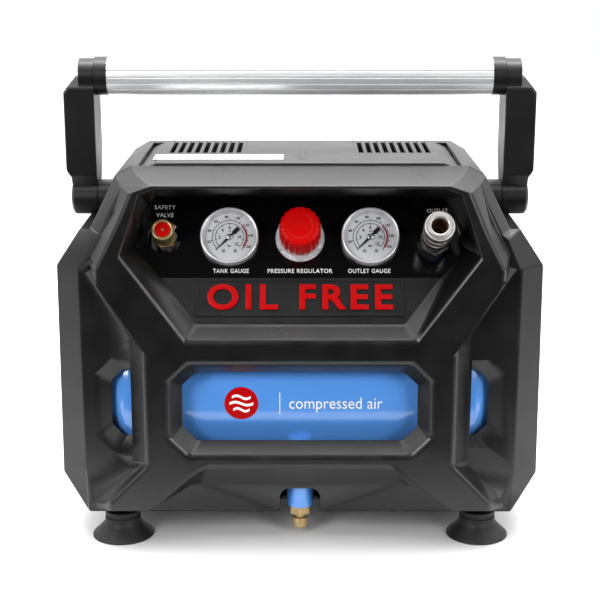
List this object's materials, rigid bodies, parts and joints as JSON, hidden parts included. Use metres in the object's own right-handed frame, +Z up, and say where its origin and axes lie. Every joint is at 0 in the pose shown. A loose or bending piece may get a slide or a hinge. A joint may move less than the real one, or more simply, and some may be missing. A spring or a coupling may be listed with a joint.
{
  "type": "air compressor",
  "caption": "Portable oil-free air compressor: two-part moulded shell round a horizontal tank, sloping control panel with gauges and regulator, fold-down carrying handle, suction feet.",
  "frame": {"origin": "on the floor under the middle of the bounding box", "axes": "+X to the right seen from the front, +Y to the back (the control panel faces -Y), +Z up"},
  "size_m": [0.3812, 0.217, 0.3812],
  "materials": {
    "charcoal_plastic": "satin, fine grain",
    "gloss_black": "gloss",
    "black_rubber": "matte",
    "blue_paint": "gloss enamel",
    "silver_aluminium": "fluted, bright",
    "cast_aluminium": "as cast",
    "chrome": "polished",
    "nickel_steel": "nickel plated",
    "steel": "zinc plated",
    "motor_enamel": "satin",
    "brass": "machined",
    "copper": "drawn tube",
    "red_plastic": "gloss",
    "white_dial": "satin, printed scale",
    "needle_black": "satin",
    "clear_lens": "clear",
    "foam": "open foam"
  },
  "bodies": {
    "housing": {"air_tank": "blue_paint", "capacitor": "gloss_black", "check_valve": "brass", "control_panel": "gloss_black", "cord_gland": "gloss_black", "coupler_body": "nickel_steel", "crankcase": "cast_aluminium", "cylinder": "cast_aluminium", "cylinder_head": "cast_aluminium", "discharge_pipe": "copper", "drain_valve_body": "brass", "foot_bolts": "steel", "foot_front_left": "black_rubber", "foot_front_right": "black_rubber", "foot_rear_left": "black_rubber", "foot_rear_right": "black_rubber", "front_shell": "charcoal_plastic", "handle_pivots": "charcoal_plastic", "head_bolts": "steel", "intake_filter": "foam", "manifold": "cast_aluminium", "motor_end_cap": "cast_aluminium", "motor_housing": "motor_enamel", "name_plate": "gloss_black", "outlet_gauge_case": "chrome", "outlet_gauge_dial": "white_dial", "outlet_gauge_lens": "clear_lens", "panel_hose": "black_rubber", "pressure_switch": "gloss_black", "pump_plate": "steel", "rear_shell": "charcoal_plastic", "regulator_body": "brass", "regulator_nut": "chrome", "safety_valve_body": "brass", "shell_screws": "steel", "tank_bracket_left": "steel", "tank_bracket_right": "steel", "tank_gauge_case": "chrome", "tank_gauge_dial": "white_dial", "tank_gauge_lens": "clear_lens", "top_cover": "charcoal_plastic", "vibration_mounts": "black_rubber"},
    "handle": {"handle_tube": "silver_aluminium", "handle_collars": "charcoal_plastic", "handle_arm_left": "charcoal_plastic", "handle_arm_right": "charcoal_plastic"},
    "regulator_screw": {"adjusting_screw": "steel"},
    "regulator_knob": {"regulator_knob": "red_plastic"},
    "tank_gauge_needle": {"tank_gauge_needle": "needle_black"},
    "outlet_gauge_needle": {"outlet_gauge_needle": "needle_black"},
    "safety_valve_cap": {"safety_valve_cap": "red_plastic"},
    "coupler_sleeve": {"coupler_sleeve": "nickel_steel"},
    "coupler_poppet": {"coupler_poppet": "brass"},
    "drain_valve_knob": {"drain_valve_knob": "brass"},
    "power_switch": {"power_switch": "gloss_black"},
    "rotor": {"rotor_shaft": "steel", "cooling_fan": "charcoal_plastic", "eccentric": "steel"},
    "piston": {"piston": "cast_aluminium", "connecting_rod": "cast_aluminium"}
  },
  "joints": [
    {"name": "handle_fold", "type": "hinge", "parent": "housing", "child": "handle", "pos_m": [0, 0.00054, 0.268], "axis": [1, 0, 0], "range_deg": [-54, 54]},
    {"name": "regulator_turn", "type": "hinge", "parent": "housing", "child": "regulator_screw", "pos_m": [0, -0.06384, 0.24959], "axis": [0, -0.8829, 0.4695], "range_deg": [-1080, 0]},
    {"name": "regulator_knob_pull", "type": "slide", "parent": "regulator_screw", "child": "regulator_knob", "axis": [0, -0.8829, 0.4695], "range_m": [0, 0.004]},
    {"name": "tank_gauge_needle_turn", "type": "hinge", "parent": "housing", "child": "tank_gauge_needle", "pos_m": [-0.055, -0.05942, 0.24724], "axis": [0, -0.8829, 0.4695], "range_deg": [-270, 0], "stiffness_Nm_per_rad": 0.001, "springref_deg": 9.74},
    {"name": "outlet_gauge_needle_turn", "type": "hinge", "parent": "housing", "child": "outlet_gauge_needle", "pos_m": [0.055, -0.05942, 0.24724], "axis": [0, -0.8829, 0.4695], "range_deg": [-270, 0], "stiffness_Nm_per_rad": 0.001, "springref_deg": 9.74},
    {"name": "safety_valve_lift", "type": "slide", "parent": "housing", "child": "safety_valve_cap", "axis": [0, -0.8829, 0.4695], "range_m": [0, 0.002], "stiffness_N_per_m": 2000, "springref_m": -0.002},
    {"name": "coupler_sleeve_slide", "type": "slide", "parent": "housing", "child": "coupler_sleeve", "axis": [0, -0.8829, 0.4695], "range_m": [-0.0045, 0], "stiffness_N_per_m": 600, "springref_m": 0.004},
    {"name": "coupler_poppet_slide", "type": "slide", "parent": "housing", "child": "coupler_poppet", "axis": [0, -0.8829, 0.4695], "range_m": [-0.004, 0], "stiffness_N_per_m": 400, "springref_m": 0.004},
    {"name": "drain_valve_turn", "type": "hinge", "parent": "housing", "child": "drain_valve_knob", "pos_m": [0, -0.06346, 0.02], "axis": [0, 0, 1], "range_deg": [0, 540]},
    {"name": "power_switch_rock", "type": "hinge", "parent": "housing", "child": "power_switch", "pos_m": [-0.121, 0.09654, 0.236], "axis": [1, 0, 0], "range_deg": [-10, 0]},
    {"name": "rotor_spin", "type": "hinge", "parent": "housing", "child": "rotor", "pos_m": [0.03, 0.03454, 0.24], "axis": [1, 0, 0], "continuous": true},
    {"name": "piston_stroke", "type": "slide", "parent": "housing", "child": "piston", "axis": [0, 0, 1], "range_m": [0, 0.014]}
  ]
}
